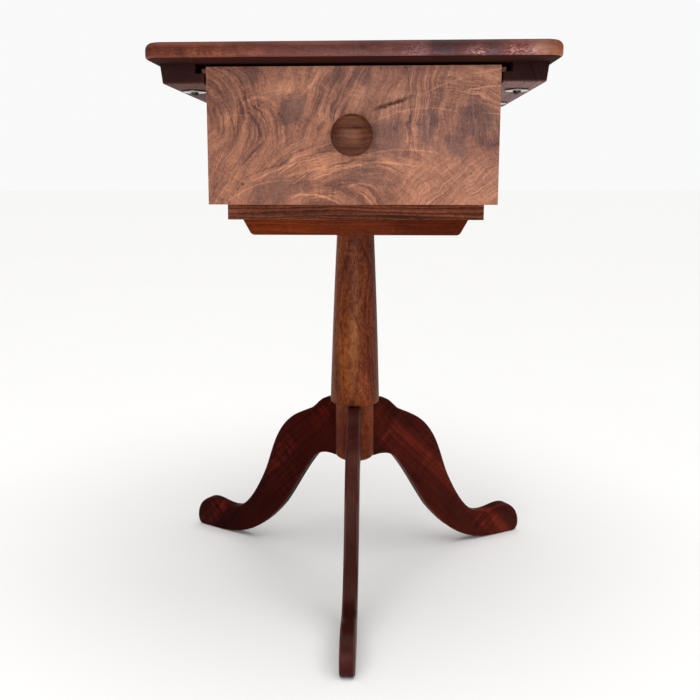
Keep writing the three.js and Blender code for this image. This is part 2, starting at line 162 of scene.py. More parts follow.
def soft_prism(name, outline, start, end, place, start_radius, end_radius, middle_rows=0):
    """An outline extruded from start to end with rounded arrises; place(u, v, w) places a point."""
    first = start + start_radius
    last = end - end_radius
    rows = edge_rows(start, 1, start_radius)
    rows += [(0, first + (last - first) * i / (middle_rows + 1), 0.0) for i in range(1, middle_rows + 1)]
    rows += reversed(edge_rows(end, -1, end_radius))
    loops = [[place(u, v, height) for u, v in inset_loop(outline, inset)] for inset, height, worn in rows]
    piece = loft(name, loops)
    layer = piece.data.attributes.new("arris", "FLOAT", "POINT")
    layer.data.foreach_set("value", [worn for _, _, worn in rows for _ in outline])
    return piece


def bezier(p0, p1, p2, p3, steps):
    """Points on a cubic curve, without the first one."""
    points = []
    for i in range(1, steps + 1):
        t = i / steps
        s = 1 - t
        points.append(tuple(
            s ** 3 * a + 3 * s * s * t * b + 3 * s * t * t * c + t ** 3 * d
            for a, b, c, d in zip(p0, p1, p2, p3)))
    return points


def lathe(name, profile, sides, place):
    """A profile of (radius, height) points turned about an axis; place(x, y, height) places a point."""
    verts = []
    rows = []
    for radius, height in profile:
        if radius == 0:
            rows.append([len(verts)] * sides)
            verts.append(place(0, 0, height))
            continue
        row = []
        for i in range(sides):
            angle = 2 * math.pi * i / sides
            row.append(len(verts))
            verts.append(place(radius * math.cos(angle), radius * math.sin(angle), height))
        rows.append(row)
    faces = []
    for low, high in zip(rows, rows[1:]):
        for i in range(sides):
            k = (i + 1) % sides
            corners = []
            for vert in (low[i], low[k], high[k], high[i]):
                if vert not in corners:
                    corners.append(vert)
            if len(corners) > 2:
                faces.append(tuple(corners))
    return new_piece(name, verts, faces)


# ---- Node helpers ----


class Nodes:
    """Short forms for building a node tree."""

    def __init__(self, name):
        self.material = bpy.data.materials.new(name)
        self.material.use_nodes = True
        self.tree = self.material.node_tree
        self.shader = self.tree.nodes["Principled BSDF"]

    def put(self, socket, value):
        """Feeds a socket with another socket or a number; None leaves it as it is."""
        if isinstance(value, bpy.types.NodeSocket):
            self.tree.links.new(value, socket)
        elif value is not None:
            socket.default_value = value

    def math(self, operation, a, b=None, clamp=False):
        node = self.tree.nodes.new("ShaderNodeMath")
        node.operation = operation
        node.use_clamp = clamp
        for socket, value in zip(node.inputs, (a, b)):
            self.put(socket, value)
        return node.outputs[0]

    def add(self, a, b):
        return self.math("ADD", a, b)

    def sub(self, a, b):
        return self.math("SUBTRACT", a, b)

    def mul(self, a, b):
        return self.math("MULTIPLY", a, b)

    def smooth(self, value, low, high):
        """0 where the value is at low, 1 where it is at high, with a soft passage between them."""
        node = self.tree.nodes.new("ShaderNodeMapRange")
        node.interpolation_type = "SMOOTHSTEP"
        for name, number in (("Value", value), ("From Min", low), ("From Max", high)):
            self.put(node.inputs[name], number)
        return node.outputs[0]

    def combine(self, x, y, z):
        node = self.tree.nodes.new("ShaderNodeCombineXYZ")
        for socket, value in zip(node.inputs, (x, y, z)):
            self.put(socket, value)
        return node.outputs[0]

    def separate(self, vector):
        node = self.tree.nodes.new("ShaderNodeSeparateXYZ")
        self.put(node.inputs[0], vector)
        return node.outputs

    def noise(self, vector, scale=1.0, detail=3.0, rough=0.5, distortion=0.0, colour=False):
        node = self.tree.nodes.new("ShaderNodeTexNoise")
        for name, number in (("Vector", vector), ("Scale", scale), ("Detail", detail),
                             ("Roughness", rough), ("Distortion", distortion)):
            self.put(node.inputs[name], number)
        return node.outputs["Color" if colour else "Fac"]

    def ramp(self, value, stops):
        node = self.tree.nodes.new("ShaderNodeValToRGB")
        ramp = node.color_ramp
        while len(ramp.elements) < len(stops):
            ramp.elements.new(0.5)
        for element, (place, colour) in zip(ramp.elements, stops):
            element.position = place
            element.color = (*colour, 1)
        self.put(node.inputs[0], value)
        return node.outputs[0]

    def mix(self, factor, a, b, mode="MIX"):
        """Blends two colours."""
        node = self.tree.nodes.new("ShaderNodeMix")
        node.data_type = "RGBA"
        node.blend_type = mode
        self.put(node.inputs[0], factor)
        first_colour, second_colour, mixed = 6, 7, 2      # the node's sockets for colours
        for index, colour in ((first_colour, a), (second_colour, b)):
            self.put(node.inputs[index], colour if isinstance(colour, bpy.types.NodeSocket) else (*colour, 1))
        return node.outputs[mixed]

    def scale_colour(self, colour, factor):
        node = self.tree.nodes.new("ShaderNodeVectorMath")
        node.operation = "SCALE"
        self.put(node.inputs[0], colour)
        self.put(node.inputs["Scale"], factor)
        return node.outputs[0]

    def vector(self, operation, a, b):
        node = self.tree.nodes.new("ShaderNodeVectorMath")
        node.operation = operation
        self.put(node.inputs[0], a)
        self.put(node.inputs[1], b)
        return node.outputs["Value" if operation in ("DOT_PRODUCT", "LENGTH", "DISTANCE") else "Vector"]

    def position(self, origin=(0, 0, 0)):
        """Object coordinates in millimetres from an origin."""
        coords = self.tree.nodes.new("ShaderNodeTexCoord").outputs["Object"]
        return self.vector("SUBTRACT", self.scale_colour(coords, 1 / MM), tuple(origin))

    def along_axes(self, origin, axes):
        """Distances from an origin along each of three unit vectors."""
        spot = self.position(origin)
        return [self.vector("DOT_PRODUCT", spot, tuple(axis)) for axis in axes]

    def blob(self, spot, centre, size):
        """1 at the centre of a soft ellipsoid, falling to 0 outside it."""
        offset = self.vector("DIVIDE", self.vector("SUBTRACT", spot, tuple(centre)), tuple(size))
        distance = self.vector("LENGTH", offset, None)
        return self.math("EXPONENT", self.mul(self.mul(distance, distance), -1.0))

    def patch(self, x, z, middle, size):
        """1 at the middle of a soft ellipse, falling to 0 outside it."""
        dx = self.mul(self.sub(x, middle[0]), 1 / size[0])
        dz = self.mul(self.sub(z, middle[1]), 1 / size[1])
        return self.math("EXPONENT", self.mul(self.add(self.mul(dx, dx), self.mul(dz, dz)), -1.0))

    def arris(self):
        """1 on a piece's rounded edges and 0 on its flats, as its mesh says."""
        node = self.tree.nodes.new("ShaderNodeAttribute")
        node.attribute_name = "arris"
        return node.outputs["Fac"]

    def relief(self, height, strength):
        """Small dents and ridges in the surface."""
        node = self.tree.nodes.new("ShaderNodeBump")
        node.inputs["Strength"].default_value = strength
        node.inputs["Distance"].default_value = 0.4 * MM
        self.put(node.inputs["Height"], height)
        self.put(self.shader.inputs["Normal"], node.outputs[0])

    def finish(self, colour, roughness, **uniform):
        """The material, with a colour, a roughness and the shader's uniform values by socket name."""
        self.put(self.shader.inputs["Base Color"], colour)
        self.put(self.shader.inputs["Roughness"], roughness)
        for name, value in uniform.items():
            self.shader.inputs[name.replace("_", " ")].default_value = value
        return self.material


def srgb(*channels):
    """A display colour of 0 to 255 as linear light."""
    values = []
    for channel in channels:
        c = channel / 255
        values.append(c / 12.92 if c <= 0.04045 else ((c + 0.055) / 1.055) ** 2.4)
    return tuple(values)


def shift(before, after):
    """The tint that turns one display colour into another."""
    return tuple(b / a for a, b in zip(srgb(*before), srgb(*after)))


# ---- Wood ----

OIL_TINT = (1.0, 0.62, 0.48, 1)         # what oiled wood mirrors is warmed by the wood under the oil
OIL_GLOSS = 0.2                         # how much it mirrors, where nothing else is said

AXES = {"x": Vector((1, 0, 0)), "y": Vector((0, 1, 0)), "z": Vector((0, 0, 1))}


def grain(letters):
    """The axes along, across and through a board, from their letters."""
    return [AXES[letter] for letter in letters]


def wood(name, tones, axes, origin, pith, ring, wave, seed, curl=0.2, curl_size=9.0, streak=0.6,
         late_wood=0.3, pores=0.5, fibres=0.55, mottle=0.3, dapple=1.0, rough=0.42, gloss=OIL_GLOSS, wear=0.3,
         worn=None, bare_and_shaded_below=None, spots=(), flecks=()):
    """An oiled board or turning.

    tones: ramp from light to dark wood. axes, origin: unit vectors along, across and through the board, and
    where they start. pith: distance through the board to the tree's centre. ring: mean width of a ring.
    wave: how far the grain wanders. curl, curl_size: strength and length of the cross figure's bars.
    streak, late_wood, pores, fibres, mottle: strength of the broad streaks, the dark part of a ring, the
    pores, the fibres and the fine dapple. dapple: size of the dapple. gloss: how much the surface mirrors.
    wear, worn: how much the edges are rubbed, and to which colour. bare_and_shaded_below: height under which
    the wood is bare and rougher, and darkened by painted shade. spots: soft patches of another tint, each
    (centre, size, tint, strength). flecks: the same, broken up by the dapple.
    """
    n = Nodes(name)
    along, across, through = n.along_axes(origin, axes)
    # the grain wanders slowly along the board
    slow = n.combine(n.add(n.mul(along, 0.006), seed), n.add(n.mul(across, 0.014), seed * 1.7),
                     n.mul(through, 0.014))
    wander = n.separate(n.noise(slow, 1.0, 2.0, 0.5, 0.4, colour=True))
    v = n.add(across, n.mul(n.sub(wander[0], 0.5), wave * 4))
    w = n.add(n.add(through, n.mul(n.sub(wander[1], 0.5), wave * 4)), pith)
    radius = n.math("SQRT", n.add(n.mul(v, v), n.mul(w, w)))
    # growth rings: a slow rise and a sharp fall across each ring, ring widths uneven
    uneven = n.noise(n.combine(n.mul(radius, 0.05), seed, n.mul(along, 0.0015)), 1.0, 2.0, 0.6)
    phase = n.math("FRACT", n.add(n.mul(radius, 1 / ring), n.mul(uneven, 5.0)))
    late = n.mul(n.smooth(phase, 0.15, 0.86), n.smooth(phase, 1.0, 0.9))
    # broad colour streaks follow the rings
    broad = n.noise(n.combine(n.mul(radius, 0.035), n.mul(along, 0.0025), n.add(n.mul(across, 0.004), seed)),
                    1.0, 3.0, 0.55)
    cloud = n.noise(n.combine(n.mul(along, 0.012), n.mul(across, 0.02), n.add(n.mul(through, 0.02), seed)),
                    1.0, 3.0, 0.6)
    # fine fibre and pores run along the grain
    fibre = n.noise(n.combine(n.mul(along, 0.03), n.mul(v, 0.9), n.mul(w, 0.9)), 1.0, 4.0, 0.65)
    pore = n.noise(n.combine(n.mul(along, 0.11), n.mul(v, 1.9), n.mul(w, 1.9)), 1.0, 2.0, 0.5)
    pore = n.smooth(pore, 0.60, 0.70)
    # cross figure in soft uneven bars, strong in some places and absent in others
    bars = n.noise(n.combine(n.mul(along, 1 / curl_size), n.mul(v, 0.035), n.add(n.mul(w, 0.035), seed)),
                   1.0, 2.0, 0.5, 0.6)
    patch = n.noise(n.combine(n.mul(along, 0.01), n.mul(across, 0.012), seed + 3.1), 1.0, 2.0, 0.5)
    bars = n.mul(n.sub(bars, 0.5), n.smooth(patch, 0.35, 0.65))
    tone = n.add(n.mul(late, late_wood), n.mul(n.sub(broad, 0.5), streak * 2.0))
    tone = n.add(tone, n.mul(n.sub(fibre, 0.5), fibres))
    tone = n.add(tone, n.mul(n.sub(cloud, 0.5), 0.7))
    dapples = n.noise(n.combine(n.mul(along, 0.14), n.mul(v, 0.3), n.add(n.mul(w, 0.3), seed)),
                      1 / dapple, 3.0, 0.6, 1.0)
    tone = n.add(tone, n.mul(n.sub(dapples, 0.5), mottle))
    tone = n.add(tone, n.add(n.mul(bars, curl * 2), 0.42))
    colour = n.ramp(tone, tones)
    colour = n.mix(n.mul(pore, pores), colour, tones[-1][1])
    spot = n.position()
    for centre, size, tint, strength in spots:
        ragged = n.mul(n.blob(spot, centre, size), n.add(0.6, n.mul(cloud, 0.8)))
        colour = n.mix(n.math("MULTIPLY", ragged, strength, clamp=True), colour, tint, "MULTIPLY")
    for centre, size, tint, strength in flecks:
        broken = n.mul(n.blob(spot, centre, size), n.smooth(dapples, 0.44, 0.60))
        colour = n.mix(n.mul(broken, strength), colour, tint, "MULTIPLY")
    # towards the underside the wood is unoiled and rougher, and darkened there as painted shade
    bare_and_shaded = 0.0
    if bare_and_shaded_below is not None:
        bare_and_shaded = n.smooth(n.separate(spot)[2], bare_and_shaded_below + 0.2, bare_and_shaded_below)
    colour = n.mix(bare_and_shaded, colour, srgb(44, 11, 7))
    # handling rubs the edges lighter and smoother, unevenly
    rubbed = n.mul(n.mul(n.arris(), n.smooth(cloud, 0.38, 0.62)), n.sub(1.0, bare_and_shaded))
    colour = n.mix(n.mul(rubbed, wear), colour, worn or n.scale_colour(tones[0][1], 1.15))
    shine = n.add(rough, n.add(n.mul(fibre, 0.12), n.mul(pore, 0.15)))
    shine = n.add(n.sub(shine, n.mul(rubbed, 0.06)), n.mul(bare_and_shaded, 0.5))
    n.relief(n.sub(n.mul(fibre, 0.5), n.add(n.mul(pore, 0.8), n.mul(late, -0.15))), 0.25)
    return n.finish(colour, shine, Specular_IOR_Level=gloss, Specular_Tint=OIL_TINT)


def palette(*colours):
    """Evenly spaced ramp stops from light to dark wood."""
    last = len(colours) - 1
    return [(i / last, srgb(*colour)) for i, colour in enumerate(colours)]


MAHOGANY = palette((142, 74, 56), (112, 54, 42), (84, 36, 28), (44, 15, 12))
DARK_LEG = palette((88, 24, 14), (48, 9, 6), (31, 4, 3), (15, 2, 2))
RED_LEG = palette((118, 40, 22), (74, 20, 11), (48, 10, 6), (24, 4, 3))
WALNUT = palette((146, 84, 54), (108, 56, 34), (78, 34, 18), (38, 14, 8))
COLUMN_WALNUT = palette((156, 88, 42), (118, 60, 30), (84, 36, 18), (44, 16, 8))
BEARER_WALNUT = palette((130, 58, 22), (100, 40, 14), (76, 27, 11), (42, 12, 6))
RUNNER = palette((56, 30, 29), (42, 20, 20), (33, 15, 15), (18, 8, 9))
PALE = palette((208, 172, 126), (192, 154, 108), (172, 134, 90), (138, 100, 64))
KNOB = palette((128, 78, 54), (96, 54, 36), (70, 34, 20), (34, 14, 8))
FACE = palette((194, 132, 100), (158, 106, 82), (122, 80, 66), (82, 52, 47))
BOARD_WALNUT = palette((164, 98, 70), (124, 70, 50), (94, 48, 32), (50, 24, 16))
STRIP = palette((128, 84, 72), (104, 66, 56), (84, 50, 44), (56, 30, 28))

# ---- Crotch figure of a drawer face ----

# All places are measured from the middle of the face, X to the right and Z up, as seen from in front of it.

# Swirls of grain, each curved about its own centre: (centre of curvature), (middle of patch), (size of
# patch), band width, band strength, fibre strength, how much darker.
SWIRLS = (
    ((-186, 18), (-124, 34), (30, 44), 3.6, 0.42, 0.44, 0.12),
    ((-116, 3), (-90, 8), (18, 28), 4.0, 0.50, 0.34, 0.12),
    ((-60, -90), (-74, 46), (26, 22), 20.0, 0.25, 0.20, -0.14),
    ((346, -121), (-30, 44), (46, 36), 9.0, 0.45, 0.65, 0.0),
    ((250, -60), (14, 52), (26, 26), 8.0, 0.45, 0.45, -0.04),
    ((10, -150), (-10, -30), (86, 22), 7.0, 0.32, 0.80, -0.02),
    ((400, 10), (74, 24), (38, 42), 5.5, 0.36, 0.60, -0.02),
    ((60, -220), (134, 50), (34, 20), 6.0, 0.30, 0.70, -0.14),
    ((520, 60), (130, 8), (32, 26), 9.0, 0.15, 0.45, 0.05),
    ((433, -433), (108, -50), (56, 30), 7.0, 0.14, 0.60, -0.14),
    ((205, -257), (-136, -44), (26, 36), 9.0, 0.22, 0.50, 0.02),
    ((-30, -120), (-24, -64), (60, 14), 10.0, 0.35, 0.40, 0.14),
)
# Grey-brown clouds in the figure: (middle), (size), how dark, how grey.
SMOKE = (
    ((-62, 30), (15, 22), 0.30, 0.8),
    ((20, -45), (28, 14), 0.22, 0.9),
    ((-76, -62), (34, 16), 0.24, 0.7),
    ((-112, 64), (14, 14), 0.30, 0.6),
    ((-132, 40), (12, 30), 0.20, 0.2),
    ((142, 13), (26, 23), 0.30, 1.0),
    ((118, -12), (14, 16), 0.22, 0.9),
    ((86, 8), (10, 22), 0.14, 1.0),
    ((15, 60), (9, 10), 0.22, 0.6),
    ((-12, 66), (6, 14), 0.26, 0.5),
    ((40, -4), (26, 24), 0.10, 0.8),
)
# Rays and curls that cross the figure: (three points), width, how much lighter or, below 0, darker.
STROKES = (
    (((126, 66), (148, 68.5), (168, 74)), 2.2, 0.40),
    (((122, 47), (146, 52), (170, 52)), 2.4, 0.42),
    (((137, 24), (154, 24), (170, 19)), 1.4, 0.30),
    (((70, 40), (98, 54), (122, 62)), 2.0, 0.30),
    (((22, 14), (70, 29), (124, 23)), 1.8, 0.26),
    (((-6, -34), (31, -29), (82, -36)), 2.4, 0.42),
    (((10, -21), (56, -15), (96, -19)), 2.0, 0.26),
    (((-4, -56), (14, -52), (34, -66)), 2.6, 0.30),
    (((118, -78), (130, -66), (148, -53)), 1.6, 0.30),
    (((-112, -50), (-73, -33), (-22, -22)), 1.8, 0.36),
    (((-76, -45), (-50, -38), (-24, -34)), 4.0, 0.40),
    (((-144, -76), (-112, -56), (-52, -50)), 1.8, 0.30),
    (((-70, -67), (-36, -65), (-6, -79)), 2.6, 0.50),
    (((-156, 68), (-133, 50), (-129, 18)), 1.8, 0.26),
    (((-165, 58), (-144, 40), (-139, 8)), 1.6, 0.24),
    (((-118, 36), (-100, 42), (-82, 8)), 5.0, 0.26),
    (((-56, 44), (-44, 56), (-34, 74)), 3.4, 0.34),
    (((-160, 72), (-122, 60), (-119, 30)), 3.4, -0.30),
    (((-117, 37), (-98, 22), (-93, 4)), 2.6, -0.44),
    (((-120, 30), (-105, 14), (-99, -8)), 2.6, -0.40),
    (((-146, 40), (-133, 20), (-131, -4)), 2.2, -0.30),
    (((-124, -34), (-110, -18), (-96, -4)), 3.0, -0.34),
    (((-120, -46), (-96, -36), (-60, -28)), 2.6, -0.26),
    (((60, 68), (64, 30), (60, -34)), 1.6, -0.34),
)
# A dark bark seam beside the knob: its two ends. Pin knots low on the left: (middle), radius.
SEAM = ((19, 27), (69, 43.5))
PIN_KNOTS = (((-122, -52.5), 1.5), ((-128, -58), 1.1))


def circle_through(a, b, c):
    """The centre and radius of the circle through three points."""
    (ax, ay), (bx, by), (cx, cy) = a, b, c
    double = 2 * (ax * (by - cy) + bx * (cy - ay) + cx * (ay - by))
    squares = [px * px + py * py for px, py in (a, b, c)]
    x = (squares[0] * (by - cy) + squares[1] * (cy - ay) + squares[2] * (ay - by)) / double
    y = (squares[0] * (cx - bx) + squares[1] * (ax - cx) + squares[2] * (bx - ax)) / double
    return (x, y), math.hypot(ax - x, ay - y)


def swirl_figure(n, x, z, seed):
    """The blended swirls: how dark the wood is, and the light hairlines in it."""
    tone = 0.10
    weight = 0.25
    light_lines = 0.0
    for index, (curve, middle, size, band, band_strength, fibre_strength, shade) in enumerate(SWIRLS):
        # each swirl is nudged by the figure already laid down, so that neighbouring swirls interlock
        nudge = n.mul(n.add(tone, light_lines), 0.6)
        sx = n.add(x, nudge)
        sz = n.sub(z, nudge)
        mask = n.patch(sx, sz, middle, size)
        dx = n.sub(sx, curve[0])
        dz = n.sub(sz, curve[1])
        radius = n.math("SQRT", n.add(n.mul(dx, dx), n.mul(dz, dz)))
        reach = Vector((middle[0] - curve[0], middle[1] - curve[1])).normalized()
        run = n.sub(n.mul(sz, reach.x), n.mul(sx, reach.y))

        def stretched(across, along, offset, detail, rough, radius=radius, run=run):
            """Noise drawn out along the swirl."""
            return n.noise(n.combine(n.mul(radius, across), n.mul(run, along), offset), 1.0, detail, rough)

        bands = n.sub(n.smooth(stretched(1 / band, 0.014, seed + index, 1.5, 0.45), 0.34, 0.66), 0.5)
        fibre = n.sub(stretched(0.75, 0.02, seed - index, 4.0, 0.7), 0.5)
        cross = n.sub(stretched(0.06, 0.28, seed - index, 2.0, 0.5), 0.5)
        value = n.add(n.mul(bands, band_strength * 0.9), n.mul(fibre, fibre_strength * 2.8))
        value = n.add(value, n.mul(cross, 0.45))
        value = n.add(value, 0.40 + shade)
        tone = n.add(tone, n.mul(mask, value))
        weight = n.add(weight, mask)
        glint = stretched(0.33, 0.014, seed + 2 * index, 1.0, 0.4)
        hairline = n.smooth(n.math("ABSOLUTE", n.sub(glint, 0.52)), 0.018, 0.004)
        light_lines = n.add(light_lines, n.mul(mask, n.add(n.smooth(glint, 0.64, 0.74), hairline)))
    return n.math("DIVIDE", tone, weight), n.math("DIVIDE", light_lines, weight)


def add_smoke(n, tone, x, z, cloud):
    """Draws the tone towards that of each cloud: the new tone, and how grey the wood is."""
    grey = 0.0
    for middle, size, shade, greyness in SMOKE:
        mask = n.patch(n.add(x, n.mul(tone, 9.0)), n.sub(z, n.mul(tone, 6.0)), middle, size)
        mask = n.smooth(n.add(mask, n.mul(n.sub(cloud, 0.5), 1.6)), 0.25, 0.75)
        tone = n.add(tone, n.mul(n.mul(mask, 0.65), n.sub(0.45 + shade * 0.55, tone)))
        grey = n.math("MAXIMUM", grey, n.mul(mask, greyness))
    return tone, grey


def add_strokes(n, tone, x, z):
    """The tone with the light and dark rays across it."""
    for points, width, strength in STROKES:
        middle, radius = circle_through(*points)
        half = math.dist(points[0], points[2]) / 2
        spot = n.combine(n.add(x, n.mul(tone, 1.5)), 0.0, z)
        away = n.math("ABSOLUTE", n.sub(n.vector("DISTANCE", spot, (middle[0], 0, middle[1])), radius))
        from_middle = n.vector("DISTANCE", spot, (points[1][0], 0, points[1][1]))
        reach = n.smooth(from_middle, half * 1.1, half * 0.6)
        line = n.mul(n.smooth(away, width * 0.7, 0.0), reach)
        tone = n.sub(tone, n.mul(line, strength * 0.62))
    return tone


def bark_seam(n, flat, x, z):
    """1 in the bark seam and the pin knots, and 0 elsewhere."""
    start, end = (Vector((a, 0, b)) for a, b in SEAM)
    line = (end - start).normalized()
    across = Vector((-line.z, 0, line.x))
    from_start = n.vector("SUBTRACT", flat, tuple(start))
    wobble = n.sub(n.noise(flat, 0.10, 3.0, 0.6), 0.5)
    away = n.math("ABSOLUTE", n.add(n.vector("DOT_PRODUCT", from_start, tuple(across)), n.mul(wobble, 6.0)))
    run = n.math("DIVIDE", n.vector("DOT_PRODUCT", from_start, tuple(line)), (end - start).length)
    thick = n.mul(n.smooth(run, -0.05, 0.3), n.smooth(run, 1.1, 0.6))
    ragged = n.noise(flat, 0.35, 3.0, 0.7)
    seam = n.smooth(away, n.add(0.6, n.mul(n.mul(ragged, thick), 6.5)), 0.4)
    seam = n.mul(seam, n.mul(thick, n.smooth(ragged, 0.30, 0.46)))
    for middle, radius in PIN_KNOTS:
        seam = n.math("MAXIMUM", seam, n.patch(x, z, middle, (radius, radius)))
    return seam


def crotch_walnut(name, turn, centre, seed):
    """Crotch walnut for a drawer face. turn is 1 for the front drawer and -1 for the rear one."""
    n = Nodes(name)
    x, depth, z = n.separate(n.position(centre))
    x = n.mul(x, turn)
    flat = n.combine(x, n.mul(depth, 0.25), z)
    half = (0.5, 0.5, 0.5)
    seeded = n.vector("ADD", n.scale_colour(flat, 0.03), (seed, 0, 0))
    sway = n.vector("SUBTRACT", n.noise(seeded, 1.0, 2.0, 0.5, colour=True), half)
    ripple = n.vector("SUBTRACT", n.noise(flat, 0.14, 2.0, 0.5, colour=True), half)
    bent = n.vector("ADD", flat, n.vector("ADD", n.scale_colour(sway, 16.0), n.scale_colour(ripple, 3.2)))
    bent_x, _, bent_z = n.separate(bent)
    rippled_x, _, rippled_z = n.separate(n.vector("ADD", flat, n.scale_colour(ripple, 3.0)))
    tone, light_lines = swirl_figure(n, bent_x, bent_z, seed)
    cloud = n.noise(flat, 0.035, 4.0, 0.6)
    tone, grey = add_smoke(n, tone, rippled_x, rippled_z, cloud)
    tone = add_strokes(n, tone, rippled_x, rippled_z)
    speckle = n.noise(n.combine(n.mul(bent_x, 0.42), seed, n.mul(bent_z, 0.42)), 1.0, 2.0, 0.6)
    tone = n.add(tone, n.mul(n.sub(cloud, 0.5), 0.5))
    tone = n.add(tone, n.mul(n.sub(speckle, 0.5), 0.42))
    tone = n.sub(tone, n.mul(light_lines, 0.22))
    tone = n.add(n.mul(n.sub(tone, 0.42), 1.6), 0.56)      # more contrast
    colour = n.ramp(tone, FACE)
    # painted light: greyer and cooler towards the upper right, warmer towards the lower left, as under a warm
    # lamp from the left
    cool = n.smooth(n.add(n.mul(x, 0.7), z), -90.0, 110.0)
    colour = n.mix(cool, colour, (0.94, 1.02, 1.18), "MULTIPLY")
    colour = n.mix(n.mul(grey, 0.7), colour, (0.90, 1.06, 1.16), "MULTIPLY")
    seam = bark_seam(n, flat, x, z)
    colour = n.mix(n.mul(seam, 0.92), colour, srgb(48, 28, 24))
    rubbed = n.mul(n.arris(), n.smooth(cloud, 0.35, 0.6))
    colour = n.mix(n.mul(rubbed, 0.4), colour, srgb(200, 146, 112))
    pores = n.noise(flat, 1.3, 2.0, 0.6)
    shine = n.add(0.40, n.add(n.mul(pores, 0.10), n.mul(seam, 0.3)))
    n.relief(n.sub(n.mul(pores, 0.4), n.add(n.mul(seam, 1.5), n.mul(tone, 0.2))), 0.2)
    return n.finish(colour, shine, Specular_IOR_Level=OIL_GLOSS, Specular_Tint=OIL_TINT)


# ---- Pieces ----


def above_bottom(node, up):
    """A point on the Z axis, some way above the bottom of a CAD node."""
    return (0, 0, node_box(node)[0].z + up)


def give(piece, body, nodes, material):
    """Puts a piece on its body, in the place of its CAD nodes."""
    piece.data.materials.clear()
    piece.data.materials.append(material)
    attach(piece, body)
    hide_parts(*nodes)


def soften(node, name, radius):
    """A copy of a CAD node's shape with every outer edge rounded."""
    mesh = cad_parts[node].data.copy()
    mesh.name = name
    bm = bmesh.new()
    bm.from_mesh(mesh)
    bmesh.ops.remove_doubles(bm, verts=bm.verts, dist=1e-6)
    bmesh.ops.dissolve_limit(bm, angle_limit=math.radians(1), verts=bm.verts, edges=bm.edges)
    arris = bm.verts.layers.float.new("arris")
    sharp = [edge for edge in bm.edges
             if edge.is_manifold and edge.is_convex and edge.calc_face_angle(0) > SHARP_ANGLE]
    made = bmesh.ops.bevel(bm, geom=sharp, offset=radius * MM, segments=3, profile=0.5, affect="EDGES",
                           clamp_overlap=True)
    rounded = set(made["faces"])
    flat_verts = {vert for face in bm.faces if face not in rounded for vert in face.verts}
    for vert in bm.verts:
        vert[arris] = 0.0 if vert in flat_verts else 1.0
    bm.to_mesh(mesh)
    bm.free()
    return finish_mesh(name, mesh, sharp_angle=math.radians(40))


def board_outline(low, high, radius, steps):
    """A rectangle with round corners, counter-clockwise, from two corner points."""
    (x0, y0), (x1, y1) = low, high
    points = []
    for quarter, (cx, cy) in enumerate(((x1 - radius, y0 + radius), (x1 - radius, y1 - radius),
                                        (x0 + radius, y1 - radius), (x0 + radius, y0 + radius))):
        for turned in quarter_turn(steps):
            angle = (quarter - 1) * math.pi / 2 + turned
            points.append((cx + radius * math.cos(angle), cy + radius * math.sin(angle)))
    return points


TOP_CORNER = 20
TOP_ARRIS = (3.0, 7.0)              # round of the lower and of the upper edge


def make_tabletop():
    low, high = node_box("tabletop")
    outline = board_outline(low.xy, high.xy, TOP_CORNER, 12)
    piece = soft_prism("table_top", outline, low.z, high.z, lambda u, v, w: (u, v, w), *TOP_ARRIS)
    usual = (104, 52, 41)
    slate = shift(usual, (86, 56, 52))
    pink = shift(usual, (172, 116, 102))

    def on_front(x, up, width, depth, height, tint, strength):
        """A patch on the front edge, some way above the underside."""
        return ((x, low.y, low.z + up), (width, depth, height), tint, strength)

    spots = (
        on_front(-190, 7, 90, 60, 30, shift(usual, (90, 42, 30)), 0.8),
        on_front(30, 5, 130, 60, 16, shift(usual, (96, 64, 62)), 0.9),
        on_front(98, 7, 18, 60, 30, slate, 1.0),
        on_front(147, 7, 8, 60, 30, slate, 1.0),
        on_front(197, 6, 12, 60, 14, shift(usual, (168, 114, 92)), 0.9),
        ((high.x, low.y + 6, low.z + 8), (10, 34, 30), shift(usual, (156, 88, 52)), 1.0),
        # painted shade: the upper part of the front edge darker, where its round turns up away from the light
        on_front(0, 18, 900, 20, 9, shift(usual, (62, 30, 27)), 0.9),
    )
    flecks = (
        on_front(-170, 7, 50, 60, 30, shift(usual, (150, 84, 58)), 0.9),
        on_front(66, 8, 14, 60, 10, shift(usual, (168, 98, 80)), 0.8),
        on_front(130, 5, 10, 60, 10, pink, 0.9),
        on_front(171, 6, 16, 60, 12, pink, 1.0),
        # painted highlight: a thin light line along the lower arris of the front edge
        on_front(0, 3, 230, 20, 3, shift(usual, (134, 84, 74)), 0.6),
    )
    give(piece, "stand", ["tabletop"],
         wood("top_mahogany", MAHOGANY, grain("xyz"), above_bottom("tabletop", 7), pith=70, ring=9, wave=9,
              curl=0.5, curl_size=14, late_wood=0.1, mottle=0.7, dapple=0.55, seed=4.0,
              bare_and_shaded_below=low.z + 0.3, spots=spots, flecks=flecks))


def make_runner(side, seed):
    name = f"{side}_runner"
    low, high = node_box(name)
    middle = (low + high) / 2
    # painted light on the undersides: lighter than the runner's wood as a painted reflection of the pale
    # floor, and lighter on the right runner than on the left as painted light from the right
    under = (130, 92, 84) if side == "left" else (190, 160, 154)
    everywhere = 400                # wider than the runner, so that the tint is the same along it
    spots = (((middle.x, middle.y, low.z - 1), (everywhere, everywhere, 2), shift((48, 27, 26), under), 1.0),)
    give(soften(name, f"runner_{side}", 0.9), "stand", [name],
         wood(f"runner_wood_{side}", RUNNER, grain("yxz"), above_bottom(name, 9), pith=90, ring=4, wave=3,
              curl=0.08, streak=0.35, pores=0.4, rough=0.6, wear=0.5, mottle=0.8, gloss=0.12, seed=seed,
              spots=spots))


def make_board():
    give(soften("support_board", "carrier_board", 0.9), "stand", ["support_board"],
         wood("board_walnut", BOARD_WALNUT, grain("xyz"), above_bottom("support_board", 9), pith=22, ring=5.5,
              wave=4, curl=0.1, streak=1.3, late_wood=0.4, mottle=1.0, dapple=0.7, pores=0.8, gloss=0.12,
              seed=2.0))


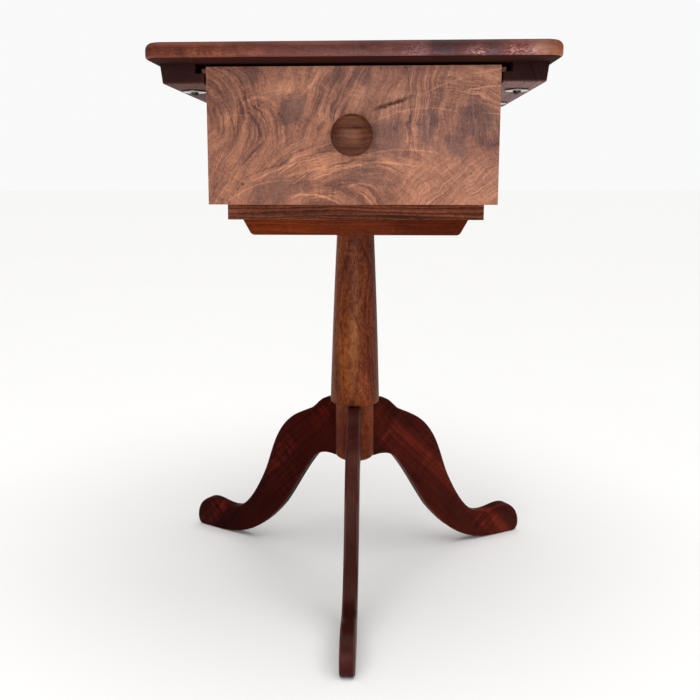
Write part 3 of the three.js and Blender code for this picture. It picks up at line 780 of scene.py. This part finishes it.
def make_bearer():
    low = node_box("bearer")[0]
    usual = (92, 42, 26)
    # painted light: the left end lighter and more orange, as if lit from the left, and the right end darker
    # in painted shade
    spots = [((x, low.y, low.z + 9.5), (80, 60, 40), shift(usual, colour), 0.9)
             for x, colour in ((-110, (108, 48, 14)), (110, (78, 30, 16)))]
    give(soften("bearer", "bearer_block", 0.9), "stand", ["bearer"],
         wood("bearer_walnut", BEARER_WALNUT, grain("xyz"), above_bottom("bearer", 10.5), pith=30, ring=8,
              wave=4, late_wood=0.2, mottle=0.6, seed=6.0, gloss=0.08, spots=spots))


def make_partition():
    give(soften("partition", "partition_board", 0.8), "stand", ["partition"],
         wood("partition_walnut", WALNUT, grain("xzy"), above_bottom("partition", 79), pith=45, ring=8,
              wave=6, seed=9.0))
    for index, end in enumerate(("front", "rear")):
        node = f"{end}_cleat"
        give(soften(node, f"{end}_cleat_bar", 0.8), "stand", [node],
             wood(f"{end}_cleat_wood", PALE, grain("xyz"), above_bottom(node, 9), pith=30, ring=4, wave=3,
                  curl=0.05, streak=0.2, pores=0.15, rough=0.55, seed=3.0 + index))


HUB_RADIUS = 25.5
HUB_DOME = 9.0                      # height of the round at the lower end of the hub
COLLAR_RADIUS = 32.5
COLLAR_Z = 233                      # underside of the collar over the legs
COLLAR_ROUND = 2.4
COLUMN_TOP_RADIUS = 24.25
COLUMN_SWELL = 0.6                  # how much the taper bulges halfway up


def column_profile(bottom, top):
    """(radius, height) points: a domed hub, a collar over the legs, and a long taper up to the bearer."""
    profile = [(HUB_RADIUS * math.sin(a), bottom + HUB_DOME - HUB_DOME * math.cos(a))
               for a in quarter_turn(12)]
    profile += [(HUB_RADIUS, COLLAR_Z - 0.01), (COLLAR_RADIUS - COLLAR_ROUND - 0.2, COLLAR_Z)]
    base = COLLAR_Z + COLLAR_ROUND
    profile += [(COLLAR_RADIUS - COLLAR_ROUND + COLLAR_ROUND * math.sin(a), base - COLLAR_ROUND * math.cos(a))
                for a in quarter_turn(5)[1:]]
    taper = COLUMN_TOP_RADIUS - COLLAR_RADIUS
    steps = 24
    for i in range(1, steps + 1):
        t = i / steps
        radius = COLLAR_RADIUS + taper * t + COLUMN_SWELL * math.sin(math.pi * t)
        profile.append((radius, base + (top - base) * t))
    profile.append((0, top))
    return profile


def make_column():
    profile = column_profile(node_box("column")[0].z, node_box("bearer")[0].z)
    cx, cy = COLUMN_AXIS.xy
    piece = lathe("turned_column", profile, 96, lambda x, y, z: (cx + x, cy + y, z))
    usual = (96, 48, 28)
    hub = (88, 48, 36)
    # offsets from the axis in X and Y, height above the floor
    patches = (
        ((-20, -20, 340), (9, 20, 60), shift(usual, (112, 60, 28)), 0.9),
        ((-12, -24, 270), (10, 20, 34), shift(usual, (120, 66, 32)), 0.9),
        # painted highlight: a pale sheen down the middle of the column's front
        ((1, -28, 350), (6, 24, 80), shift(usual, (114, 70, 50)), 0.9),
        ((17, -24, 330), (8, 24, 90), shift(usual, (108, 54, 36)), 0.9),
        ((14, -26, 262), (8, 24, 22), shift(usual, (112, 58, 36)), 0.9),
        # painted shade: darker at the top of the column, under the bearer
        ((0, -26, 445), (40, 40, 44), shift(usual, (78, 38, 27)), 1.0),
        ((-16, -20, 190), (15, 40, 42), shift(hub, (72, 22, 3)), 1.0),
        ((18, -20, 190), (15, 40, 42), shift(hub, (108, 54, 30)), 1.0),
    )
    spots = [((cx + x, cy + y, z), size, tint, strength) for (x, y, z), size, tint, strength in patches]
    give(piece, "stand", ["column"],
         wood("column_walnut", COLUMN_WALNUT, grain("zxy"), (cx, cy, 0), pith=120, ring=10, wave=12, curl=0.3,
              curl_size=5, late_wood=0.14, mottle=1.1, dapple=1.2, seed=1.4, rough=0.38,
              gloss=0.12, spots=spots))


LEG_REACH = 279                     # from the column's axis to the tip of the toe
LEG_ROOT = 22                       # where the legs end inside the hub
LEG_THICKNESS = 17.5
LEG_ARRIS = 3.0


def leg_outline():
    """The side of a leg, X from the column axis and Y up: under the knee, the toe, and back over the top."""
    points = [(LEG_ROOT, 155), (27.5, 155)]
    for controls in (
            ((38, 157), (51, 157), (62, 146.5)),
            ((82, 122.5), (98, 91), (116, 65.5)),
            ((139, 38), (172, 1), (232, 0)),
            ((245, 0), (256, 0), (LEG_REACH - 12, 0)),
            ((LEG_REACH - 3, 0), (LEG_REACH, 5), (LEG_REACH, 14)),
            ((LEG_REACH, 32), (LEG_REACH - 15, 46), (LEG_REACH - 31, 46)),
            ((235, 46), (228, 41.5), (211, 41.5)),
            ((184, 42), (164, 78), (149.5, 107)),
            ((137, 133), (133, 164), (111, 188)),
            ((97, 203), (84, 207), (68, 214.5)),
            ((57, 220), (51, 233.5), (40, 233.5)),
            ((37, 233.5), (35, 233), (33.25, 232.5))):
        points += bezier(points[-1], *controls, 10)
    points.append((LEG_ROOT, 232.5))
    return points


def make_leg(name, angle, tones, seed, curl, gloss, streak=0.6, wear=0.25, worn=None, patches=()):
    """A leg that points to an angle from +X. patches are spots, placed by the distance from the column's
    axis, the height and the offset to the side."""
    direction = Vector((math.cos(angle), math.sin(angle), 0))
    side = Vector((-direction.y, direction.x, 0))
    base = Vector((COLUMN_AXIS.x, COLUMN_AXIS.y, 0))

    def place(u, v, w):
        # the root follows the round of the hub, just outside it
        against_hub = math.sqrt((HUB_RADIUS + 0.3) ** 2 - w * w)
        return base + direction * max(u, against_hub) + side * w + Vector((0, 0, v))

    half = LEG_THICKNESS / 2
    piece = soft_prism(f"scroll_{name}", leg_outline(), -half, half, place, LEG_ARRIS, LEG_ARRIS, 5)
    # the grain runs from the knee to the toe
    slant = (direction * 190 - AXES["z"] * 195).normalized()
    axes = (slant, slant.cross(side), side)
    spots = [(base + direction * u + side * w + AXES["z"] * v, size, tint, strength)
             for (u, v, w), size, tint, strength in patches]
    give(piece, "stand", [name],
         wood(f"{name}_wood", tones, axes, tuple(base), pith=80, ring=8, wave=6, curl=curl, curl_size=6,
              streak=streak, late_wood=0.12, mottle=0.15, fibres=0.35, seed=seed, rough=0.34, gloss=gloss,
              wear=wear, worn=worn, spots=spots))


def make_legs():
    # knee: a painted sheen, lighter and greyer, on the front leg's upper edge by the hub
    knee = ((80, 190, 0), (80, 80, 80), shift((46, 14, 10), (66, 38, 36)), 0.9)
    # toe: a painted highlight on the rounded top of the front toe
    toe = ((277, 25, 0), (14, 12, 11), shift((60, 32, 27), (86, 62, 62)), 0.9)
    make_leg("front_leg", -math.pi / 2, DARK_LEG, 11.0, curl=0.0, gloss=0.17, streak=0.2, wear=0.4,
             worn=srgb(112, 76, 70), patches=(knee, toe))
    make_leg("right_leg", math.pi / 6, RED_LEG, 14.0, curl=0.55, gloss=0.06)
    root = ((60, 190, 0), (40, 40, 40), shift((46, 14, 10), (60, 17, 11)), 0.8)
    make_leg("left_leg", math.pi * 5 / 6, DARK_LEG, 17.0, curl=0.45, gloss=0.03, patches=(root,))


KNOB_RIM = (22.9, 19.4)             # radius of the rim, and its distance from the drawer's face
KNOB_CROWN = 11.5                   # height of the rounded front beyond the rim


def knob_profile():
    """(radius, distance from the drawer's face) points: tenon, foot, waist, mushroom head, crown."""
    waist = (11.3, 2.4)
    neck = (11.5, 10.5)
    points = [(0, -14), (6, -14), (6, 0), (11.8, 0.2), (12, 1.2), waist]
    points += bezier(waist, (9.5, 4), (9.2, 8), neck, 8)
    points += bezier(neck, (14.5, 13.5), (21.6, 13.6), (22.8, 18.6), 10)
    radius, rim = KNOB_RIM
    points += [(radius * math.cos(a) ** 0.92, rim + KNOB_CROWN * math.sin(a)) for a in quarter_turn(14)[1:-1]]
    points.append((0, rim + KNOB_CROWN))
    return points


def make_knob(end, turn, face_y, centre_z, seed):
    piece = lathe(f"{end}_knob", knob_profile(), 64,
                  lambda x, y, z: (turn * x, face_y - turn * z, centre_z + y))
    usual = (100, 60, 42)
    spots = (
        ((turn * 4, face_y - turn * 29, centre_z + 7.5), (15, 30, 1.5), shift(usual, (46, 22, 14)), 1.0),
        # painted shadow: the knob darker at its foot and flank, near the drawer's face
        ((0, face_y, centre_z), (60, 19, 60), shift(usual, (66, 32, 20)), 0.9),
        # painted highlight: a soft lighter spot at the middle of the knob's crown
        ((turn * 3, face_y - turn * 31, centre_z - 2), (10, 30, 9), shift((88, 52, 37), (120, 78, 60)), 0.9),
    )
    give(piece, f"{end}_drawer", [f"{end}_drawer_knob"],
         wood(f"{end}_knob_walnut", KNOB, grain("xyz"), (0, face_y, centre_z), pith=70, ring=5, wave=2.5,
              curl=0.1, streak=0.9, late_wood=0.16, mottle=0.5, rough=0.36, gloss=0.3, seed=seed,
              spots=spots))


# The grain along, across and through each part of a drawer's box.
BOX_GRAIN = {"left_side": "yzx", "right_side": "yzx", "back": "xzy", "bottom": "xyz",
             "left_strip": "yzx", "right_strip": "yzx"}


def make_drawer(end, turn, seed):
    """turn is 1 for the front drawer and -1 for the rear one."""
    face = f"{end}_drawer_face"
    low, high = node_box(face)
    body = f"{end}_drawer"
    centre_z = (low.z + high.z) / 2
    face_y = low.y if turn > 0 else high.y
    give(soften(face, f"{end}_face", 0.9), body, [face],
         crotch_walnut(f"{end}_face_walnut", turn, (0, face_y, centre_z), seed))
    make_knob(end, turn, face_y, centre_z, seed + 1)
    for index, (part, letters) in enumerate(BOX_GRAIN.items()):
        node = f"{end}_drawer_{part}"
        tones = STRIP if "strip" in part else PALE
        give(soften(node, f"{end}_{part}_board", 0.6), body, [node],
             wood(f"{end}_{part}_wood", tones, grain(letters), above_bottom(face, 60.5), pith=50, ring=6,
                  wave=5, curl=0.05, streak=0.25, pores=0.15, rough=0.5, seed=seed + 2 + index))


# ---- Metal ----


def metal(name, colour, rough):
    """Worn metal with grime in patches, and painted shade where the mesh says arris: the dark rims of the
    washers.
    """
    n = Nodes(name)
    spot = n.position()
    speckle = n.noise(spot, 0.8, 3.0, 0.6)
    grime = n.smooth(n.noise(spot, 0.22, 3.0, 0.6), 0.4, 0.7)
    tint = n.mix(n.mul(speckle, 0.35), colour, tuple(c * 0.7 for c in colour))
    tint = n.mix(n.mul(grime, 0.35), tint, tuple(c * 0.45 for c in colour))
    # painted shade: the arris, which is the washers' rims, nearly black
    tint = n.mix(n.mul(n.arris(), 0.85), tint, tuple(c * 0.12 for c in colour))
    shine = n.add(rough - 0.08, n.add(n.mul(speckle, 0.2), n.mul(grime, 0.15)))
    n.relief(speckle, 0.1)
    return n.finish(tint, shine, Metallic=1.0)


SLOT_WIDTH = 1.1


def cut_slot(piece, centre, depth, reach):
    """Cuts a screwdriver slot across a screw head that faces down."""
    blade = new_piece("blade", [(centre.x + a * reach, centre.y + b * SLOT_WIDTH / 2, centre.z + c * depth)
                                for a in (-1, 1) for b in (-1, 1) for c in (-1, 1)],
                      [(0, 1, 3, 2), (4, 6, 7, 5), (0, 4, 5, 1), (2, 3, 7, 6), (0, 2, 6, 4), (1, 5, 7, 3)])
    cutter = piece.modifiers.new("slot", "BOOLEAN")
    cutter.operation = "DIFFERENCE"
    cutter.solver = "EXACT"
    cutter.object = blade
    graph = bpy.context.evaluated_depsgraph_get()
    mesh = bpy.data.meshes.new_from_object(piece.evaluated_get(graph))
    piece.modifiers.clear()
    piece.data = mesh
    bpy.data.objects.remove(blade)
    mesh.shade_smooth()
    mesh.set_sharp_from_angle(angle=SHARP_ANGLE)


def threaded(radius, start, end):
    """Profile points of a wood screw's shank with shallow ridges, up to its point."""
    pitch = 1.8
    taper = 6
    points = []
    z = start
    while z < end - taper:
        points += [(radius * 0.82, z), (radius, z + pitch / 2)]
        z += pitch
    points += [(radius * 0.6, end - taper / 2), (0, end)]
    return points


def make_screw(node, name, head, shank_radius, slot_depth, material):
    """head is the profile of the head from its crown upwards; the shank follows it."""
    low, high = node_box(node)
    spot = (low + high) / 2
    profile = head + threaded(shank_radius, head[-1][1], high.z - low.z)
    piece = lathe(name, profile, 32, lambda x, y, z: (spot.x + x, spot.y + y, low.z + z))
    reach = max(radius for radius, _ in head) + 1
    cut_slot(piece, Vector((spot.x, spot.y, low.z)), slot_depth, reach)
    give(piece, "stand", [node], material)


def weld(piece):
    """Joins the first and last rows of a lathe whose profile closes on itself."""
    bm = bmesh.new()
    bm.from_mesh(piece.data)
    bmesh.ops.remove_doubles(bm, verts=bm.verts, dist=1e-7)
    bmesh.ops.recalc_face_normals(bm, faces=bm.faces)
    bm.to_mesh(piece.data)
    bm.free()


WASHER_HOLE = 2.75
WASHER_RADIUS = 14
WASHER_THICKNESS = 2


def make_washer(node, material):
    low, high = node_box(node)
    spot = (low + high) / 2
    ring = [(WASHER_HOLE, 0.4), (3.1, 0.08), (3.6, 0), (13.2, 0), (13.8, 0.25), (WASHER_RADIUS, 0.8),
            (WASHER_RADIUS, 1.4), (13.7, 1.85), (13.2, WASHER_THICKNESS), (3.1, WASHER_THICKNESS),
            (WASHER_HOLE, 1.7), (WASHER_HOLE, 0.4)]
    piece = lathe(node.replace("runner_washer", "washer"), ring, 64,
                  lambda x, y, z: (spot.x + x, spot.y + y, low.z + z))
    weld(piece)
    # the rim is marked as arris, so that the metal paints it dark as painted shade
    rim = piece.data.attributes.new("arris", "FLOAT", "POINT")
    for vert, value in zip(piece.data.vertices, rim.data):
        value.value = float((vert.co.xy / MM - spot.xy).length > WASHER_RADIUS - 0.5)
    give(piece, "stand", [node], material)


DOME_RADIUS = 4.9
DOME_HEIGHT = 4
RUNNER_SHANK = 2.25
WOOD_SHANK = 2.5
FLAT_HEAD = [(0, 0), (4.4, 0.02), (4.5, 0.25), (2.4, 3.0)]


def make_fasteners():
    dark_steel = metal("dark_steel", srgb(70, 62, 58), 0.30)
    zinc = metal("zinc_plate", srgb(206, 203, 198), 0.30)
    dome = [(DOME_RADIUS * math.sin(a), DOME_HEIGHT - DOME_HEIGHT * math.cos(a)) for a in quarter_turn(8)]
    dome.append((2.2, DOME_HEIGHT + 0.05))
    for name in list(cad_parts):
        if name.startswith("runner_washer"):
            make_washer(name, zinc)
        elif name.startswith("runner_screw"):
            make_screw(name, name.replace("runner_screw", "domed_screw"), dome, RUNNER_SHANK, 1.4, dark_steel)
        elif "screw" in name:
            make_screw(name, name.replace("screw", "wood_screw"), FLAT_HEAD, WOOD_SHANK, 1.2, dark_steel)


make_tabletop()
make_runner("left", 7.0)
make_runner("right", 9.0)
make_board()
make_bearer()
make_partition()
make_column()
make_legs()
make_drawer("front", 1, 21.0)
make_drawer("rear", -1, 27.0)
make_fasteners()

# ---- Studio, its lights placed and sized in metres ----


def aim(light, place, target):
    """Puts a light in its place, facing a target."""
    light.location = place
    light.rotation_euler = (Vector(target) - Vector(place)).to_track_quat("-Z", "Y").to_euler()
    bpy.context.collection.objects.link(light)


def area_light(name, place, target, size, power):
    data = bpy.data.lights.new(name, "AREA")
    data.shape = "RECTANGLE"
    data.size, data.size_y = size
    data.energy = power
    aim(bpy.data.objects.new(name, data), place, target)


def sky_light(name, place, strength, spread):
    """An even soft light over the whole floor."""
    data = bpy.data.lights.new(name, "SUN")
    data.energy = strength
    data.angle = math.radians(spread)
    aim(bpy.data.objects.new(name, data), place, (0, 0, 0))


def make_floor():
    half = 40.0 / MM
    floor = new_piece("floor", [(-half, -half, FLOOR_Z), (half, -half, FLOOR_Z),
                                (half, half, FLOOR_Z), (-half, half, FLOOR_Z)], [(0, 1, 2, 3)])
    n = Nodes("pale_floor")
    mottle = n.noise(n.position(), 0.004, 3.0, 0.5)
    tint = n.mix(mottle, (0.93, 0.93, 0.93), (0.95, 0.95, 0.945))
    floor.data.materials.append(n.finish(tint, 0.8, Specular_IOR_Level=0.1))


def make_world():
    """White behind the table, and a dimmer room for everything that it lights or is mirrored in."""
    world = bpy.data.worlds.new("studio")
    world.use_nodes = True
    tree = world.node_tree
    seen = tree.nodes["Background"]
    seen.inputs["Color"].default_value = (1, 1, 1, 1)
    seen.inputs["Strength"].default_value = 0.95
    room = tree.nodes.new("ShaderNodeBackground")
    room.inputs["Color"].default_value = (1.0, 0.98, 0.95, 1)
    room.inputs["Strength"].default_value = 0.28
    rays = tree.nodes.new("ShaderNodeLightPath")
    choose = tree.nodes.new("ShaderNodeMixShader")
    tree.links.new(rays.outputs["Is Camera Ray"], choose.inputs[0])
    tree.links.new(room.outputs[0], choose.inputs[1])
    tree.links.new(seen.outputs[0], choose.inputs[2])
    tree.links.new(choose.outputs[0], tree.nodes["World Output"].inputs["Surface"])
    bpy.context.scene.world = world


make_floor()
make_world()
area_light("front", (-0.5, -2.6, 0.65), (0, 0, 0.42), (1.8, 1.1), 31)
sky_light("overhead", (0.1, -0.15, 1), 2.4, 70)
bpy.context.scene.view_settings.view_transform = "Standard"
